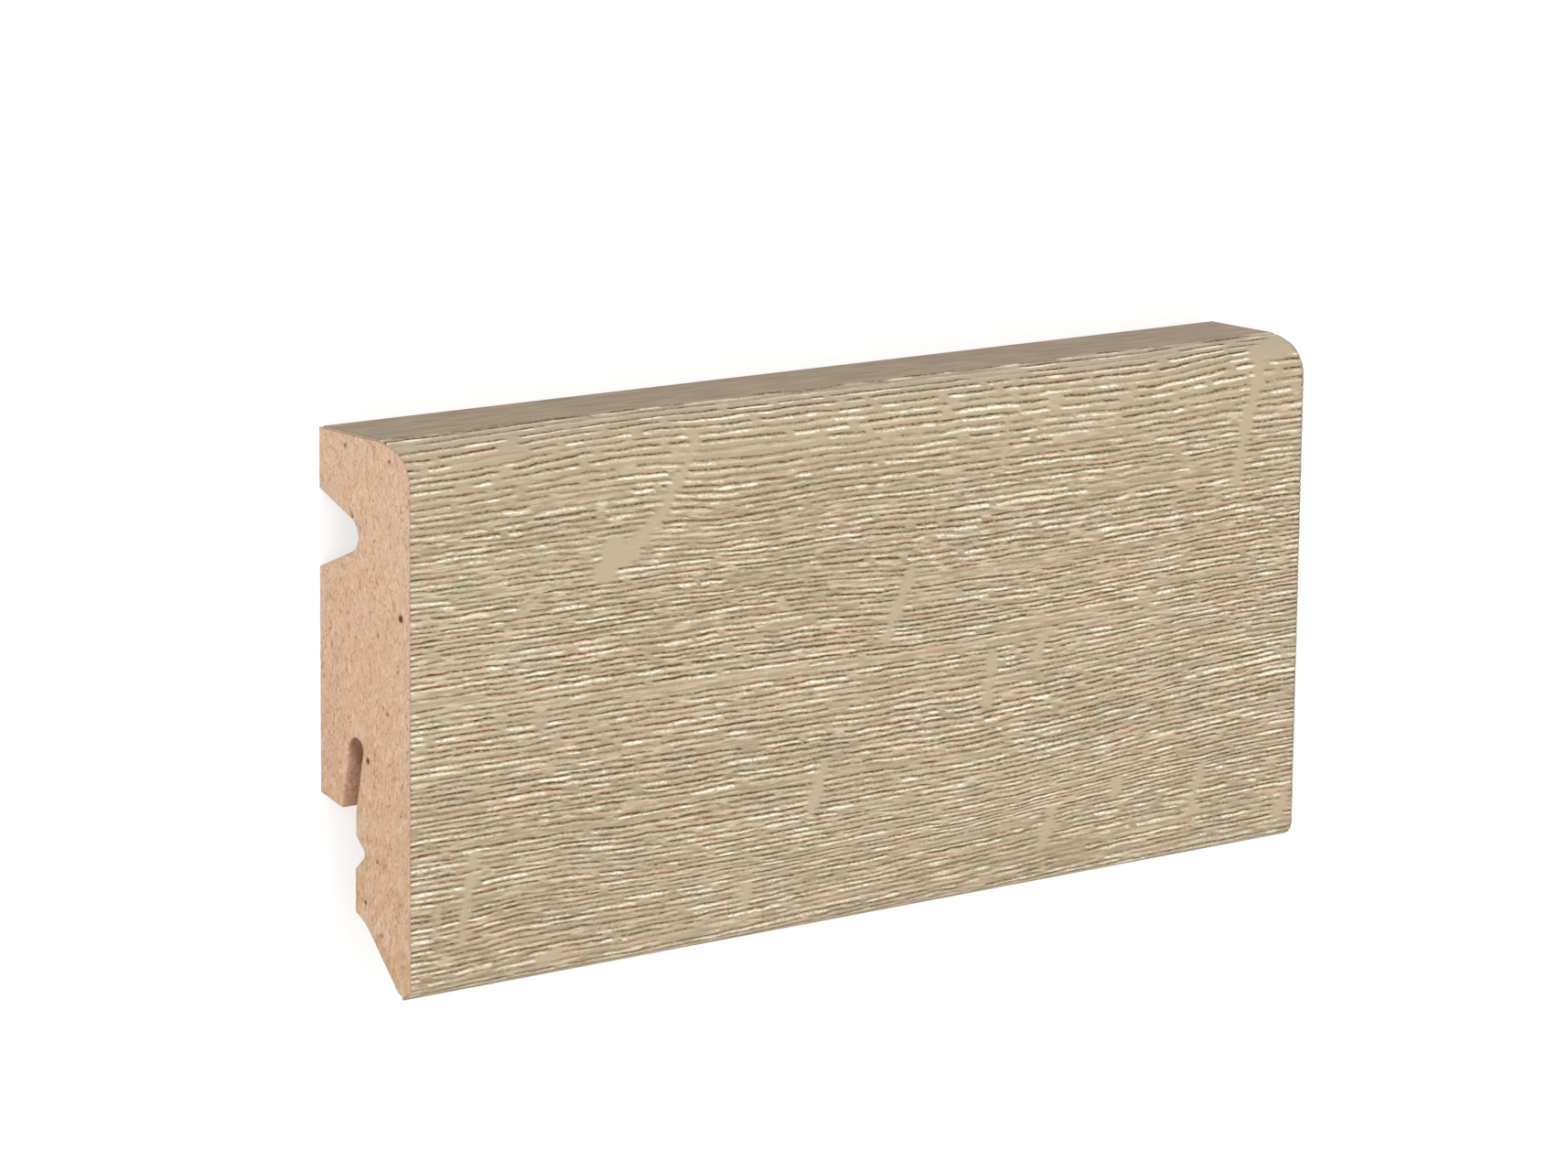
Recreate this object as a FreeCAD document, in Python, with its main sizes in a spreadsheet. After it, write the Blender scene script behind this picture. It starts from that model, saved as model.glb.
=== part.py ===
import FreeCAD, Part
import math
import os
import Sketcher
from types import SimpleNamespace

# A short length of skirting board: a milled fibreboard core whose top, nose, face and floor edge
# are wrapped in a thin decor foil. All lengths are millimetres, all angles degrees.
# It lies on its back, the way it rests when nothing holds it:
#   X runs along the board and is centred on its length,
#   Y runs from the floor edge up to the top edge and is centred on the board's height,
#   Z rises from the wall side, which lies on the ground at 0, to the decor face.
# The section is drawn in (height, depth): height from the floor edge, depth from the wall side.

SIZES = {
    # The whole board, foil included
    "board_length": 128.0,
    "board_height": 60.0,
    "board_thickness": 17.0,
    # The nose: how far back on the top and how far down the face it reaches, and its radius where
    # it runs into the face
    "nose_reach": 6.6,
    "nose_drop": 4.6,
    "nose_radius": 4.1,
    "tip_radius": 1.8,
    # The foil, and how far its upper edge is trimmed back from the wall side
    "foil_thickness": 0.3,
    "foil_trim": 1.0,
    # The toe: the foot of its pad, how far the pad stands out from the rebate's wall, and the
    # shallow cove that leads from the pad's foot into the bevel
    "pad_foot": 7.9,
    "pad_step": 0.15,
    "cove_width": 2.1,
    "cove_rise": 3.0,
    "cove_radius": 8.0,
    # The small relief notch where the pad ends
    "notch_height": 14.55,
    "notch_mouth": 3.8,
    "notch_depth": 1.5,
    "notch_radius": 0.8,
    # The leg between the clip slot and the wall side, and the rise of its foot's bevel
    "leg_height": 18.9,
    "leg_bevel": 0.95,
    "leg_thickness": 4.0,
    # The clip slot, which opens downwards beside the leg and leans towards the face
    "slot_width": 2.55,
    "slot_top": 27.0,
    "slot_tilt": 11.5,
    # The tapered groove in the wall side
    "groove_from_top": 11.1,
    "groove_mouth": 8.5,
    "groove_depth": 7.2,
    "groove_radius": 1.9,
}

SHEET = "Sizes"
PARTS_FOLDER = "parts"
START, END, CENTRE = 1, 2, 3
ORIGIN = (-1, 1)
WALL_SIDE = -1


class Size(float):
    """A number that carries its formula, so that what is drawn from it can be tied to the sheet.
    The sum or difference of two sizes is a size. With a bare number it is a bare number."""

    def __new__(cls, value, formula):
        size = super().__new__(cls, value)
        size.formula = formula
        return size

    def __add__(self, other):
        total = float(self) + float(other)
        return Size(total, f"({self.formula} + {other.formula})") if isinstance(other, Size) else total

    def __sub__(self, other):
        rest = float(self) - float(other)
        return Size(rest, f"({self.formula} - {other.formula})") if isinstance(other, Size) else rest

    def half(self):
        return Size(float(self) / 2, f"({self.formula} / 2)")

    def over_cosine(self, angle):
        """What a leaning width takes up when it is measured along the depth."""
        value = float(self) / math.cos(math.radians(angle))
        return Size(value, f"({self.formula} / cos({angle.formula}))")


def fill_sheet(document):
    """Writes the driving sizes into the sheet, and returns them by name."""
    sheet = document.addObject("Spreadsheet::Sheet", SHEET)
    named = {}
    for row, (alias, value) in enumerate(SIZES.items(), start=1):
        sheet.set(f"A{row}", alias)
        sheet.set(f"B{row}", str(value))
        sheet.setAlias(f"B{row}", alias)
        named[alias] = Size(value, f"{SHEET}.{alias}")
    document.recompute()
    return SimpleNamespace(**named)


def work_out_places(size):
    """The places and radii of the section that follow from the driving sizes."""
    rebate_wall = size.leg_thickness + size.slot_width.over_cosine(size.slot_tilt)
    crown_radius, crown_turn = crown_of_nose(size.nose_reach, size.nose_drop, size.nose_radius)
    return SimpleNamespace(
        core_top=size.board_height - size.foil_thickness,
        core_face=size.board_thickness - size.foil_thickness,
        crown_depth=size.board_thickness - size.nose_reach,
        crown_radius=crown_radius,
        crown_turn=crown_turn,
        nose_height=size.board_height - size.nose_drop,
        nose_depth=size.board_thickness - size.nose_radius,
        core_nose_radius=size.nose_radius - size.foil_thickness,
        tip_depth=size.board_thickness - size.tip_radius,
        core_tip_radius=size.tip_radius - size.foil_thickness,
        rebate_wall=rebate_wall,
        pad_plane=rebate_wall - size.pad_step,
        cove_foot=size.pad_foot - size.cove_width,
        cove_top=rebate_wall - size.pad_step + size.cove_rise,
        notch_centre=rebate_wall + size.notch_depth - size.notch_radius,
        leg_back=size.leg_height + size.leg_bevel,
        slot_end=size.slot_top - size.slot_width.half(),
        groove_height=size.board_height - size.groove_from_top,
        groove_centre=size.groove_depth - size.groove_radius,
    )


def crown_of_nose(reach, drop, radius):
    """The nose starts on the top with a flat arc, its crown, which runs into the tighter arc that
    ends on the face. Returns the crown's radius and the angle that it turns through."""
    turn = 2 * math.atan2(drop - radius, reach - radius)
    return radius + (reach - radius) / math.sin(turn), math.degrees(turn)


def new_body(document, label):
    """A body that is drawn from the floor edge and then centred on the board's height."""
    body = document.addObject("PartDesign::Body", label)
    body.Label = label
    body.setExpression(".Placement.Base.y", f"-{SHEET}.board_height / 2")
    return body


def new_sketch(body, name):
    """A sketch of the section. Its first axis is height and its second axis is depth."""
    section_plane = next(p for p in body.Origin.OriginFeatures if p.Role == "YZ_Plane")
    sketch = body.newObject("Sketcher::SketchObject", name)
    sketch.AttachmentSupport = [(section_plane, "")]
    sketch.MapMode = "FlatFace"
    return sketch


def line(sketch, start, end):
    """A straight edge between two (height, depth) points."""
    first, last = FreeCAD.Vector(*start, 0), FreeCAD.Vector(*end, 0)
    return sketch.addGeometry(Part.LineSegment(first, last))


def arc(sketch, centre, radius, start_angle, end_angle):
    """An anticlockwise arc about a (height, depth) point."""
    circle = Part.Circle(FreeCAD.Vector(*centre, 0), FreeCAD.Vector(0, 0, 1), radius)
    return sketch.addGeometry(
        Part.ArcOfCircle(circle, math.radians(start_angle), math.radians(end_angle))
    )


def on_circle(centre, radius, angle):
    turn = math.radians(angle)
    return centre[0] + radius * math.cos(turn), centre[1] + radius * math.sin(turn)


def bearing(centre, point):
    return math.degrees(math.atan2(point[1] - centre[1], point[0] - centre[0]))


def hollow_centre(start, end, radius):
    """The centre of an arc between two points that curves round their right-hand side."""
    half_chord = math.dist(start, end) / 2
    middle = (start[0] + end[0]) / 2, (start[1] + end[1]) / 2
    return on_circle(middle, math.sqrt(radius**2 - half_chord**2), bearing(start, end) - 90)


def touch_angle(centre, radius, point, side):
    """Where on a circle a line from an outside point touches it, on the side +1 or -1."""
    opening = math.degrees(math.acos(radius / math.dist(centre, point)))
    return bearing(centre, point) + side * opening


def chain(sketch, edges, smooth_after=(), backwards=()):
    """Joins each edge's end to the next edge's start, and the last edge to the first.
    An arc in backwards is drawn against the chain's way, so the chain meets its end first."""
    for edge, following in zip(edges, edges[1:] + edges[:1]):
        kind = "Tangent" if edge in smooth_after else "Coincident"
        leaves_at = START if edge in backwards else END
        enters_at = END if following in backwards else START
        sketch.addConstraint(Sketcher.Constraint(kind, edge, leaves_at, following, enters_at))


def keep_height(sketch, *edges):
    """Each edge stays at one height."""
    for edge in edges:
        sketch.addConstraint(Sketcher.Constraint("Vertical", edge))


def keep_depth(sketch, *edges):
    """Each edge stays at one depth."""
    for edge in edges:
        sketch.addConstraint(Sketcher.Constraint("Horizontal", edge))


def put_on_wall_side(sketch, edge, end):
    sketch.addConstraint(Sketcher.Constraint("PointOnObject", edge, end, WALL_SIDE))


def tie(sketch, kind, places, size):
    """Adds a dimension that follows the sheet."""
    index = sketch.addConstraint(Sketcher.Constraint(kind, *places, float(size)))
    sketch.setExpression(f"Constraints[{index}]", size.formula)


def tie_height(sketch, edge, end, size):
    tie(sketch, "DistanceX", (*ORIGIN, edge, end), size)


def tie_depth(sketch, edge, end, size):
    tie(sketch, "DistanceY", (*ORIGIN, edge, end), size)


def tie_radius(sketch, edge, size):
    tie(sketch, "Radius", (edge,), size)


def tie_lean(sketch, edge, size):
    """The angle between an edge and the height axis."""
    index = sketch.addConstraint(Sketcher.Constraint("Angle", edge, math.radians(size)))
    sketch.setExpression(f"Constraints[{index}]", f"{size.formula} * 1 deg")


def extrude(body, sketch, length, name):
    """Pads the section to both sides of the middle of the board's length."""
    pad = body.newObject("PartDesign::Pad", name)
    pad.Profile = sketch
    pad.SideType = "Symmetric"
    pad.setExpression("Length", length.formula)
    return pad


def mill(body, sketch, name):
    """Runs a cutter with the sketch's outline along the whole board."""
    pocket = body.newObject("PartDesign::Pocket", name)
    pocket.Profile = sketch
    pocket.SideType = "Symmetric"
    pocket.Type = "ThroughAll"
    return pocket


def draw_nose(sketch, size, place, inward):
    """The crown and the tighter arc of the nose, at a distance inward from the board's surface."""
    crown_radius = place.crown_radius - inward
    crown_centre = (size.board_height - place.crown_radius, place.crown_depth)
    nose_centre = (place.nose_height, place.nose_depth)
    crown = arc(sketch, crown_centre, crown_radius, 0, place.crown_turn)
    nose = arc(sketch, nose_centre, size.nose_radius - inward, place.crown_turn, 90)
    return crown, nose


def draw_blank(body, size, place):
    """The core before its grooves are milled: top, nose, face, tip, bevel, toe, rebate and leg."""
    sketch = new_sketch(body, "blank_section")
    tip_centre = (size.tip_radius, place.tip_depth)
    bevel_top = (place.cove_foot, place.cove_top)
    pad_foot = (size.pad_foot, place.pad_plane)
    pad_top = (size.notch_height, place.pad_plane)
    wall_foot = (size.notch_height, place.rebate_wall)
    wall_top = (size.leg_height, place.rebate_wall)
    leg_foot = (size.leg_height, size.leg_thickness)
    tip_end = touch_angle(tip_centre, place.core_tip_radius, bevel_top, side=-1) + 360
    cove_centre = hollow_centre(bevel_top, pad_foot, size.cove_radius)
    cove_start, cove_end = bearing(cove_centre, pad_foot), bearing(cove_centre, bevel_top)

    top = line(sketch, (place.core_top, 0), (place.core_top, place.crown_depth))
    crown, nose = draw_nose(sketch, size, place, size.foil_thickness)
    face = line(sketch, (place.nose_height, place.core_face), (size.tip_radius, place.core_face))
    tip = arc(sketch, tip_centre, place.core_tip_radius, 90, tip_end)
    bevel = line(sketch, on_circle(tip_centre, place.core_tip_radius, tip_end), bevel_top)
    cove = arc(sketch, cove_centre, size.cove_radius, cove_start, cove_end)
    pad = line(sketch, pad_foot, pad_top)
    step = line(sketch, pad_top, wall_foot)
    wall = line(sketch, wall_foot, wall_top)
    foot = line(sketch, wall_top, leg_foot)
    leg_bevel = line(sketch, leg_foot, (place.leg_back, 0))
    back = line(sketch, (place.leg_back, 0), (place.core_top, 0))

    outline = [top, crown, nose, face, tip, bevel, cove, pad, step, wall, foot, leg_bevel, back]
    chain(sketch, outline, smooth_after=(top, crown, nose, face, tip), backwards=(cove,))
    keep_height(sketch, top, step, foot)
    keep_depth(sketch, face, pad, wall, back)
    put_on_wall_side(sketch, back, START)
    tie_height(sketch, top, START, place.core_top)
    tie_depth(sketch, face, START, place.core_face)
    tie_depth(sketch, crown, CENTRE, place.crown_depth)
    tie_height(sketch, nose, CENTRE, place.nose_height)
    tie_radius(sketch, nose, place.core_nose_radius)
    tie_height(sketch, tip, CENTRE, size.tip_radius)
    tie_radius(sketch, tip, place.core_tip_radius)
    tie_height(sketch, bevel, END, place.cove_foot)
    tie_depth(sketch, bevel, END, place.cove_top)
    tie_radius(sketch, cove, size.cove_radius)
    tie_height(sketch, pad, START, size.pad_foot)
    tie_depth(sketch, pad, START, place.pad_plane)
    tie_height(sketch, step, START, size.notch_height)
    tie_depth(sketch, wall, START, place.rebate_wall)
    tie_height(sketch, foot, START, size.leg_height)
    tie_depth(sketch, foot, END, size.leg_thickness)
    tie_height(sketch, leg_bevel, END, place.leg_back)
    return sketch


def draw_tapered_cut(body, name, middle, mouth_width, centre_depth, radius, mouth_depth=None):
    """A cut that opens towards the wall side, with two flanks that run smoothly into its round
    floor. Its mouth lies at mouth_depth or, without one, on the wall side itself."""
    sketch = new_sketch(body, name)
    centre = (middle, centre_depth)
    drawn_mouth = 0.0 if mouth_depth is None else mouth_depth
    upper_lip = (middle + mouth_width.half(), drawn_mouth)
    lower_lip = (middle - mouth_width.half(), drawn_mouth)
    upper_angle = touch_angle(centre, radius, upper_lip, side=1)
    lower_angle = 180 - upper_angle

    upper = line(sketch, upper_lip, on_circle(centre, radius, upper_angle))
    floor = arc(sketch, centre, radius, upper_angle, lower_angle)
    lower = line(sketch, on_circle(centre, radius, lower_angle), lower_lip)
    mouth = line(sketch, lower_lip, upper_lip)

    chain(sketch, [upper, floor, lower, mouth], smooth_after=(upper, floor))
    sketch.addConstraint(Sketcher.Constraint("Equal", upper, lower))
    keep_depth(sketch, mouth)
    if mouth_depth is None:
        put_on_wall_side(sketch, mouth, START)
    else:
        tie_depth(sketch, mouth, START, mouth_depth)
    tie(sketch, "DistanceX", (mouth, START, mouth, END), mouth_width)
    tie_height(sketch, floor, CENTRE, middle)
    tie_depth(sketch, floor, CENTRE, centre_depth)
    tie_radius(sketch, floor, radius)
    return sketch


def draw_clip_slot(body, size, place):
    """The leaning slot with a round end. Its inner side starts flush with the rebate's wall."""
    sketch = new_sketch(body, "clip_slot_section")
    outer_foot = (size.leg_height, size.leg_thickness)
    inner_foot = (size.leg_height, place.rebate_wall)
    lean = math.tan(math.radians(size.slot_tilt))
    middle_depth = (size.leg_thickness + place.rebate_wall) / 2
    end_depth = middle_depth + (place.slot_end - size.leg_height) * lean
    end_centre = (place.slot_end, end_depth)
    end_radius = size.slot_width.half()
    outer_angle = size.slot_tilt - 90.0
    inner_angle = 90.0 + size.slot_tilt

    outer = line(sketch, outer_foot, on_circle(end_centre, end_radius, outer_angle))
    end = arc(sketch, end_centre, end_radius, outer_angle, inner_angle)
    inner = line(sketch, on_circle(end_centre, end_radius, inner_angle), inner_foot)
    mouth = line(sketch, inner_foot, outer_foot)

    chain(sketch, [outer, end, inner, mouth], smooth_after=(outer, end))
    sketch.addConstraint(Sketcher.Constraint("Parallel", outer, inner))
    keep_height(sketch, mouth)
    tie_height(sketch, outer, START, size.leg_height)
    tie_depth(sketch, outer, START, size.leg_thickness)
    tie_lean(sketch, outer, size.slot_tilt)
    tie_height(sketch, end, CENTRE, place.slot_end)
    tie_radius(sketch, end, end_radius)
    return sketch


def draw_foil(body, size, place):
    """The foil's band: over the top, round the nose, down the face and round the tip."""
    sketch = new_sketch(body, "foil_section")
    tip_centre = (size.tip_radius, place.tip_depth)
    outer_upper = (size.board_height, size.foil_trim)
    inner_upper = (place.core_top, size.foil_trim)
    outer_lower = (0, place.tip_depth)
    inner_lower = (size.foil_thickness, place.tip_depth)
    face_end = (size.tip_radius, size.board_thickness)
    glued_face_end = (size.tip_radius, place.core_face)

    top = line(sketch, outer_upper, (size.board_height, place.crown_depth))
    crown, nose = draw_nose(sketch, size, place, 0)
    face = line(sketch, (place.nose_height, size.board_thickness), face_end)
    tip = arc(sketch, tip_centre, size.tip_radius, 90, 180)
    lower_edge = line(sketch, outer_lower, inner_lower)
    glued_tip = arc(sketch, tip_centre, place.core_tip_radius, 90, 180)
    glued_face = line(sketch, glued_face_end, (place.nose_height, place.core_face))
    glued_crown, glued_nose = draw_nose(sketch, size, place, size.foil_thickness)
    glued_top = line(sketch, (place.core_top, place.crown_depth), inner_upper)
    upper_edge = line(sketch, inner_upper, outer_upper)

    outline = [top, crown, nose, face, tip, lower_edge]
    outline += [glued_tip, glued_face, glued_nose, glued_crown, glued_top, upper_edge]
    smooth = (top, crown, nose, face, glued_tip, glued_face, glued_nose, glued_crown)
    chain(sketch, outline, smooth_after=smooth, backwards=(glued_tip, glued_nose, glued_crown))
    sketch.addConstraint(Sketcher.Constraint("Coincident", glued_tip, CENTRE, tip, CENTRE))
    sketch.addConstraint(Sketcher.Constraint("Coincident", glued_nose, CENTRE, nose, CENTRE))
    sketch.addConstraint(Sketcher.Constraint("Coincident", glued_crown, CENTRE, crown, CENTRE))
    sketch.addConstraint(Sketcher.Constraint("Horizontal", tip, END, tip, CENTRE))
    keep_height(sketch, top, glued_top)
    keep_depth(sketch, face, lower_edge, glued_face, upper_edge)
    tie_height(sketch, top, START, size.board_height)
    tie_depth(sketch, top, START, size.foil_trim)
    tie_depth(sketch, crown, CENTRE, place.crown_depth)
    tie_height(sketch, nose, CENTRE, place.nose_height)
    tie_radius(sketch, nose, size.nose_radius)
    tie_depth(sketch, face, START, size.board_thickness)
    tie_height(sketch, tip, CENTRE, size.tip_radius)
    tie_radius(sketch, tip, size.tip_radius)
    tie_radius(sketch, glued_tip, place.core_tip_radius)
    return sketch


def build_core(document, size, place):
    """The fibreboard: its blank, then the groove, the slot and the notch that are milled in it."""
    body = new_body(document, "mdf_core")
    extrude(body, draw_blank(body, size, place), size.board_length, "blank")
    groove = draw_tapered_cut(
        body, "clip_groove_section", place.groove_height, size.groove_mouth,
        place.groove_centre, size.groove_radius,
    )
    notch = draw_tapered_cut(
        body, "relief_notch_section", size.notch_height, size.notch_mouth,
        place.notch_centre, size.notch_radius, mouth_depth=place.pad_plane,
    )
    mill(body, groove, "clip_groove")
    mill(body, draw_clip_slot(body, size, place), "clip_slot")
    mill(body, notch, "relief_notch")
    return body


def build_foil(document, size, place):
    """The decor foil that is glued round the core."""
    body = new_body(document, "decor_foil")
    extrude(body, draw_foil(body, size, place), size.board_length, "foil_band")
    return body


def check_features(document):
    """Stops if a feature failed, or if a cutter took nothing away."""
    for item in document.Objects:
        if {"Invalid", "Error"} & set(item.State):
            raise RuntimeError(f"{item.Label} has failed: {item.State}")
        if item.TypeId == "PartDesign::Pocket" and item.Shape.Volume >= item.BaseFeature.Shape.Volume:
            raise RuntimeError(f"{item.Label} cuts nothing")


def check_piece(body):
    """Stops unless the body is one sound solid."""
    shape = body.Shape
    if shape.isNull() or not shape.isValid() or len(shape.Solids) != 1:
        raise RuntimeError(f"{body.Label} isn't one valid solid")


def write_piece(body):
    body.Shape.exportStep(os.path.join(PARTS_FOLDER, f"{body.Label}.step"))
    box = body.Shape.BoundBox
    extents = f"{box.XLength:.2f} x {box.YLength:.2f} x {box.ZLength:.2f} mm"
    print(f"{body.Label}: {body.Shape.Volume:.1f} cubic mm in {extents}")


doc = FreeCAD.newDocument("SkirtingBoard")
driving = fill_sheet(doc)
worked_out = work_out_places(driving)
pieces = [build_core(doc, driving, worked_out), build_foil(doc, driving, worked_out)]
doc.recompute()
check_features(doc)
for piece in pieces:
    check_piece(piece)

os.makedirs(PARTS_FOLDER, exist_ok=True)
for piece in pieces:
    write_piece(piece)
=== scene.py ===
import math

import bmesh
import bpy
import numpy as np
from mathutils import Matrix, Vector
from mathutils.geometry import delaunay_2d_cdt


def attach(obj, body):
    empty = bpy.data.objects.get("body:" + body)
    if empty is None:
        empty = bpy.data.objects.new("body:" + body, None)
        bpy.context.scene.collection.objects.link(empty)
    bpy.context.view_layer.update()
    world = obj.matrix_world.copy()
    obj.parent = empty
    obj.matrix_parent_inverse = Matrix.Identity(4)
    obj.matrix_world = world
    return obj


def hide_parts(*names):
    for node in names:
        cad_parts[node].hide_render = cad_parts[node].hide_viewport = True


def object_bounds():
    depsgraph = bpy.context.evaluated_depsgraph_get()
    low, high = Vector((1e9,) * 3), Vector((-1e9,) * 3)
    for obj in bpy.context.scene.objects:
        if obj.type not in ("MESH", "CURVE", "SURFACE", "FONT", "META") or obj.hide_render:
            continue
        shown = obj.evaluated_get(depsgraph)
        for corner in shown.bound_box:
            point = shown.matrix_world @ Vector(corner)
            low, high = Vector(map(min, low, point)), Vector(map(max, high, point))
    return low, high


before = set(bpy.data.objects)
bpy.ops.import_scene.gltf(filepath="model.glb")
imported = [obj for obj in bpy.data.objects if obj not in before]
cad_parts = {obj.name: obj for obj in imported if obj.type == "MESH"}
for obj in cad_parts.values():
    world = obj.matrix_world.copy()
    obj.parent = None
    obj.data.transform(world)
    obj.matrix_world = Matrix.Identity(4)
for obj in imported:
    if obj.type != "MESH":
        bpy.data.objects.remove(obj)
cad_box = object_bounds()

# A short length of skirting board that lies on its wall side. The board's lengths are written in
# millimetres and become metres when a mesh is made. Its section is written as (height, depth):
# height from the floor edge up, depth from the wall side out to the decor face. The materials, the
# floor and the light are in metres.

MM = 0.001
LOW, HIGH = (Vector(corner) / MM for corner in cad_box)
LENGTH, HEIGHT, THICKNESS = HIGH - LOW
SEED = 29
NOISE_SIZE = 256


def smooth_step(t):
    """0 below 0 and 1 above 1, with a smooth curve between them."""
    t = np.clip(t, 0.0, 1.0)
    return t * t * (3 - 2 * t)


class Noise:
    """Smooth seeded noise between -1 and 1, from random values at the corners of a grid. A place
    is divided by the size that its waves are to have, and a number added to it picks another part
    of the grid."""

    def __init__(self, rng):
        self.table = rng.uniform(-1, 1, (NOISE_SIZE, NOISE_SIZE))

    def __call__(self, u, v):
        u, v = np.broadcast_arrays(np.asarray(u, float), np.asarray(v, float))
        iu, iv = np.floor(u).astype(int), np.floor(v).astype(int)
        fu, fv = smooth_step(u - iu), smooth_step(v - iv)

        def corner(du, dv):
            return self.table[(iu + du) % NOISE_SIZE, (iv + dv) % NOISE_SIZE]

        near = corner(0, 0) * (1 - fu) + corner(1, 0) * fu
        far = corner(0, 1) * (1 - fu) + corner(1, 1) * fu
        return near * (1 - fv) + far * fv


# Meshes


def quads(grid):
    """The faces between the points of a grid of indices, one row of four indices each."""
    corners = [grid[:-1, :-1], grid[1:, :-1], grid[1:, 1:], grid[:-1, 1:]]
    return np.stack(corners, -1).reshape(-1, 4)


def add_mesh(name, points, faces, mend=False):
    """A piece in the row frame, from points in (along, height, depth). To mend it is to turn all
    its faces outward."""
    placed = (np.asarray(points) + (LOW.x, LOW.y, LOW.z)) * MM
    mesh = bpy.data.meshes.new(name)
    mesh.from_pydata(placed.tolist(), [], [tuple(int(i) for i in face) for face in faces])
    mesh.validate()
    if mend:
        work = bmesh.new()
        work.from_mesh(mesh)
        bmesh.ops.recalc_face_normals(work, faces=work.faces)
        work.to_mesh(mesh)
        work.free()
    mesh.polygons.foreach_set("use_smooth", [True] * len(mesh.polygons))
    mesh.update()
    piece = bpy.data.objects.new(name, mesh)
    bpy.context.scene.collection.objects.link(piece)
    return piece


def add_attribute(piece, name, values):
    attribute = piece.data.attributes.new(name, "FLOAT", "POINT")
    attribute.data.foreach_set("value", np.asarray(values, np.float32))


# The decor foil's outline, which repeats the CAD's

# How far back on the top and how far down the face the nose reaches, and its radius where it runs
# into the face. On the top the nose starts with a flat arc, its crown, which runs into that one
NOSE_REACH = 6.6
NOSE_DROP = 4.6
NOSE_RADIUS = 4.1
CROWN_TURN = 2 * math.atan2(NOSE_DROP - NOSE_RADIUS, NOSE_REACH - NOSE_RADIUS)
CROWN_RADIUS = NOSE_RADIUS + (NOSE_REACH - NOSE_RADIUS) / math.sin(CROWN_TURN)

# The arc at the floor edge, how far the foil's upper edge stops short of the wall side, and how
# far inside its outer surface the glued side lies
TIP_RADIUS = 1.8
FOIL_TRIM = 1.0
FOIL_GLUE_SIDE = 0.285

# The places along the girth where the foil's parts start, from its upper edge
CROWN_START = THICKNESS - NOSE_REACH - FOIL_TRIM
NOSE_START = CROWN_START + CROWN_RADIUS * CROWN_TURN
FACE_START = NOSE_START + NOSE_RADIUS * (math.pi / 2 - CROWN_TURN)
TIP_START = FACE_START + HEIGHT - NOSE_DROP - TIP_RADIUS
GIRTH = TIP_START + TIP_RADIUS * math.pi / 2


def face_height(along):
    """The height on the flat face, carried on evenly past the nose and the tip."""
    return HEIGHT - NOSE_DROP - (along - FACE_START)


def round_the_foil(along, inward):
    """The (height, depth) of points at a way along the girth, from the foil's upper edge over the
    nose and down the face, and at a distance inward from the foil's outer surface."""
    along, inward = np.broadcast_arrays(along, inward)
    height, depth = HEIGHT - inward, FOIL_TRIM + along
    on = (along >= CROWN_START) & (along < NOSE_START)
    turn, reach = (along[on] - CROWN_START) / CROWN_RADIUS, CROWN_RADIUS - inward[on]
    height[on] = HEIGHT - CROWN_RADIUS + reach * np.cos(turn)
    depth[on] = THICKNESS - NOSE_REACH + reach * np.sin(turn)
    on = (along >= NOSE_START) & (along < FACE_START)
    turn, reach = CROWN_TURN + (along[on] - NOSE_START) / NOSE_RADIUS, NOSE_RADIUS - inward[on]
    height[on] = HEIGHT - NOSE_DROP + reach * np.cos(turn)
    depth[on] = THICKNESS - NOSE_RADIUS + reach * np.sin(turn)
    on = (along >= FACE_START) & (along < TIP_START)
    height[on], depth[on] = face_height(along[on]), THICKNESS - inward[on]
    on = along >= TIP_START
    turn, reach = (along[on] - TIP_START) / TIP_RADIUS, TIP_RADIUS - inward[on]
    height[on] = TIP_RADIUS - reach * np.sin(turn)
    depth[on] = THICKNESS - TIP_RADIUS + reach * np.cos(turn)
    return height, depth


# The foil's grain

# The rows of pores start on the crown and end past the foil's lower edge, because the grain is
# lifted over the face. The grain shows from a little way down the crown and ends on the tip's arc
ROWS_START = CROWN_START + 0.2
ROWS_END = GIRTH + 3.4
GRAIN_START = CROWN_START + 1.1
GRAIN_END = GIRTH - 1.2

# The least distance between two rows of points, the distance of the rows on the smooth top, and
# about how many faces the foil's outer side has
ROW_GAP = 0.012
TOP_STEP = 0.5
FOIL_QUADS = 98500

# How the grain sweeps over the face: each line lifts the grain by a rise, over a run that starts at
# one place along the board and ends at another, within a band of heights
SWEEPS = (
    # rise, from, to, middle height, half of the band
    (1.3, 0, 30, 58, 7),
    (-0.75, 31, 43, 51, 6),
    (0.6, 46, 58, 48, 5),
    (-0.9, 46, 72, 38, 7),
    (2.5, 74, 128, 18, 11),
    (0.7, 60, 128, 8, 7),
    (3.2, 15, 128, -2, 11),
    (0.9, 84, 128, 38, 9),
    (0.8, 2, 16, 6, 5),
    (1.2, 104, 122, 57, 6),
    (-0.7, 14, 36, 12, 8),
)

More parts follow.
